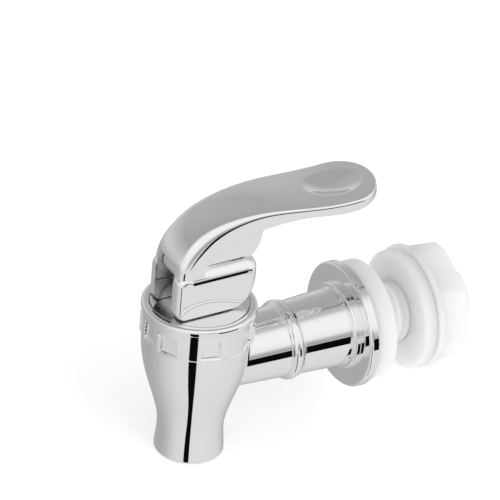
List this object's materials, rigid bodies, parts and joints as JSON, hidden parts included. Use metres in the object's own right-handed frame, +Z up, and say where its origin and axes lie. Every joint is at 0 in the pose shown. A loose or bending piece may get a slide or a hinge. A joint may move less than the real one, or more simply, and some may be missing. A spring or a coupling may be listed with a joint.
{
  "type": "beverage dispenser spigot",
  "caption": "Chrome self-closing spigot with a swan-neck thumb lever over a hanging spout, and a threaded white shank with washers and a hex lock nut.",
  "frame": {"origin": "on the thread's axis, in the plane of the flange's rear face", "axes": "+Y along the thread into the dispenser, +Z up, the spout hangs in front at -Y"},
  "size_m": [0.0344, 0.0965, 0.0744],
  "materials": {
    "chrome_plate": "mirror polished chrome",
    "steel": "turned stainless steel",
    "white_plastic": "moulded white plastic, soft sheen",
    "silicone": "milky white silicone rubber"
  },
  "bodies": {
    "housing": {"valve_body": "chrome_plate", "threaded_shank": "white_plastic", "outer_washer": "silicone", "inner_washer": "silicone", "lock_nut": "white_plastic", "bonnet": "chrome_plate", "bonnet_seal": "silicone"},
    "turntable": {"turntable": "chrome_plate"},
    "spring_seat": {"spring_washer": "steel"},
    "stem": {"stem": "steel", "seal_plug": "silicone", "spring_retainer": "steel", "return_spring": "steel"},
    "pin": {"pivot_pin": "steel"},
    "lever": {"lever": "chrome_plate"}
  },
  "joints": [
    {"name": "lever_swivel", "type": "hinge", "parent": "housing", "child": "turntable", "pos_m": [0, -0.047, 0.01935], "axis": [0, 0, 1], "continuous": true},
    {"name": "press_lift", "type": "slide", "parent": "turntable", "child": "spring_seat", "axis": [0, 0, 1], "range_m": [0, 0.00144]},
    {"name": "flip_lift", "type": "slide", "parent": "spring_seat", "child": "stem", "axis": [0, 0, 1], "range_m": [0, 0.0055], "deforming": ["return_spring"]},
    {"name": "lever_press", "type": "hinge", "parent": "stem", "child": "pin", "pos_m": [0, -0.047, 0.02565], "axis": [-1, 0, 0], "range_deg": [0, 15], "stiffness_Nm_per_rad": 0.15, "springref_deg": -28.65},
    {"name": "lever_flip", "type": "hinge", "parent": "pin", "child": "lever", "pos_m": [0, -0.047, 0.02565], "axis": [1, 0, 0], "range_deg": [0, 90]}
  ],
  "couplings": [
    {"joint": "press_lift", "follows": "lever_press", "m_per_rad": 0.0055},
    {"joint": "flip_lift", "follows": "lever_flip", "m_per_rad": 0.0035014}
  ]
}
